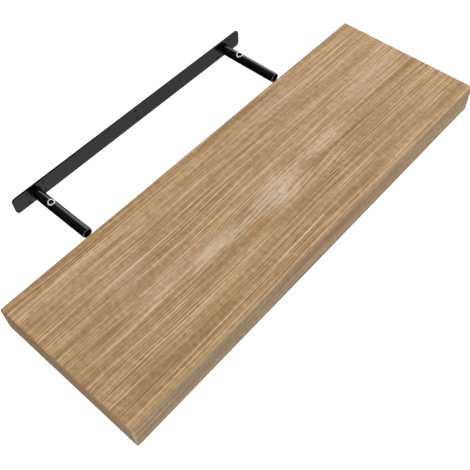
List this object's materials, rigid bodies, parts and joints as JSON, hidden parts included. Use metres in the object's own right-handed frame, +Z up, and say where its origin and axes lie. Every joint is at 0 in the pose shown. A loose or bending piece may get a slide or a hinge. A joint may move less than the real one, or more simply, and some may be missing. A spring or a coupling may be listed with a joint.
{
  "type": "floating wall shelf",
  "caption": "Floating wall shelf: a foil-wrapped hollow board with an oak look that slides onto the tubes of a black steel wall bracket and is locked from below.",
  "frame": {"origin": "centre of the wall plate's back face, on the wall", "axes": "+X right along the shelf for someone facing the wall, +Y into the wall, +Z up"},
  "size_m": [0.6, 0.314, 0.04],
  "materials": {
    "black_steel": "black powder coat, semi-gloss",
    "bright_steel": "bright zinc",
    "dark_steel": "black oxide",
    "oak_foil": "printed light-oak decor foil, satin",
    "edge_band": "oak decor edge band, satin",
    "fibreboard": "raw fibreboard",
    "softwood": "raw softwood",
    "cardboard": "raw cardboard"
  },
  "bodies": {
    "bracket": {"wall_plate": "black_steel", "left_support_tube": "black_steel", "right_support_tube": "black_steel", "left_lock_bush": "bright_steel", "right_lock_bush": "bright_steel"},
    "board": {"decor_foil_wrap": "oak_foil", "left_edge_band": "edge_band", "right_edge_band": "edge_band", "top_panel": "fibreboard", "bottom_panel": "fibreboard", "front_rail": "softwood", "left_end_rail": "softwood", "right_end_rail": "softwood", "left_back_rail": "softwood", "middle_back_rail": "softwood", "right_back_rail": "softwood", "left_tube_block": "softwood", "right_tube_block": "softwood", "front_honeycomb_core": "cardboard", "left_honeycomb_core": "cardboard", "middle_honeycomb_core": "cardboard", "right_honeycomb_core": "cardboard", "left_insert_nut": "bright_steel", "right_insert_nut": "bright_steel"},
    "left_screw": {"left_lock_screw": "dark_steel"},
    "right_screw": {"right_lock_screw": "dark_steel"}
  },
  "joints": [
    {"name": "board_slide", "type": "slide", "parent": "bracket", "child": "board", "axis": [0, 1, 0], "range_m": [0, 0.114]},
    {"name": "left_screw_lift", "type": "slide", "parent": "board", "child": "left_screw", "axis": [0, 0, 1], "range_m": [0, 0.007]},
    {"name": "right_screw_lift", "type": "slide", "parent": "board", "child": "right_screw", "axis": [0, 0, 1], "range_m": [0, 0.007]}
  ]
}
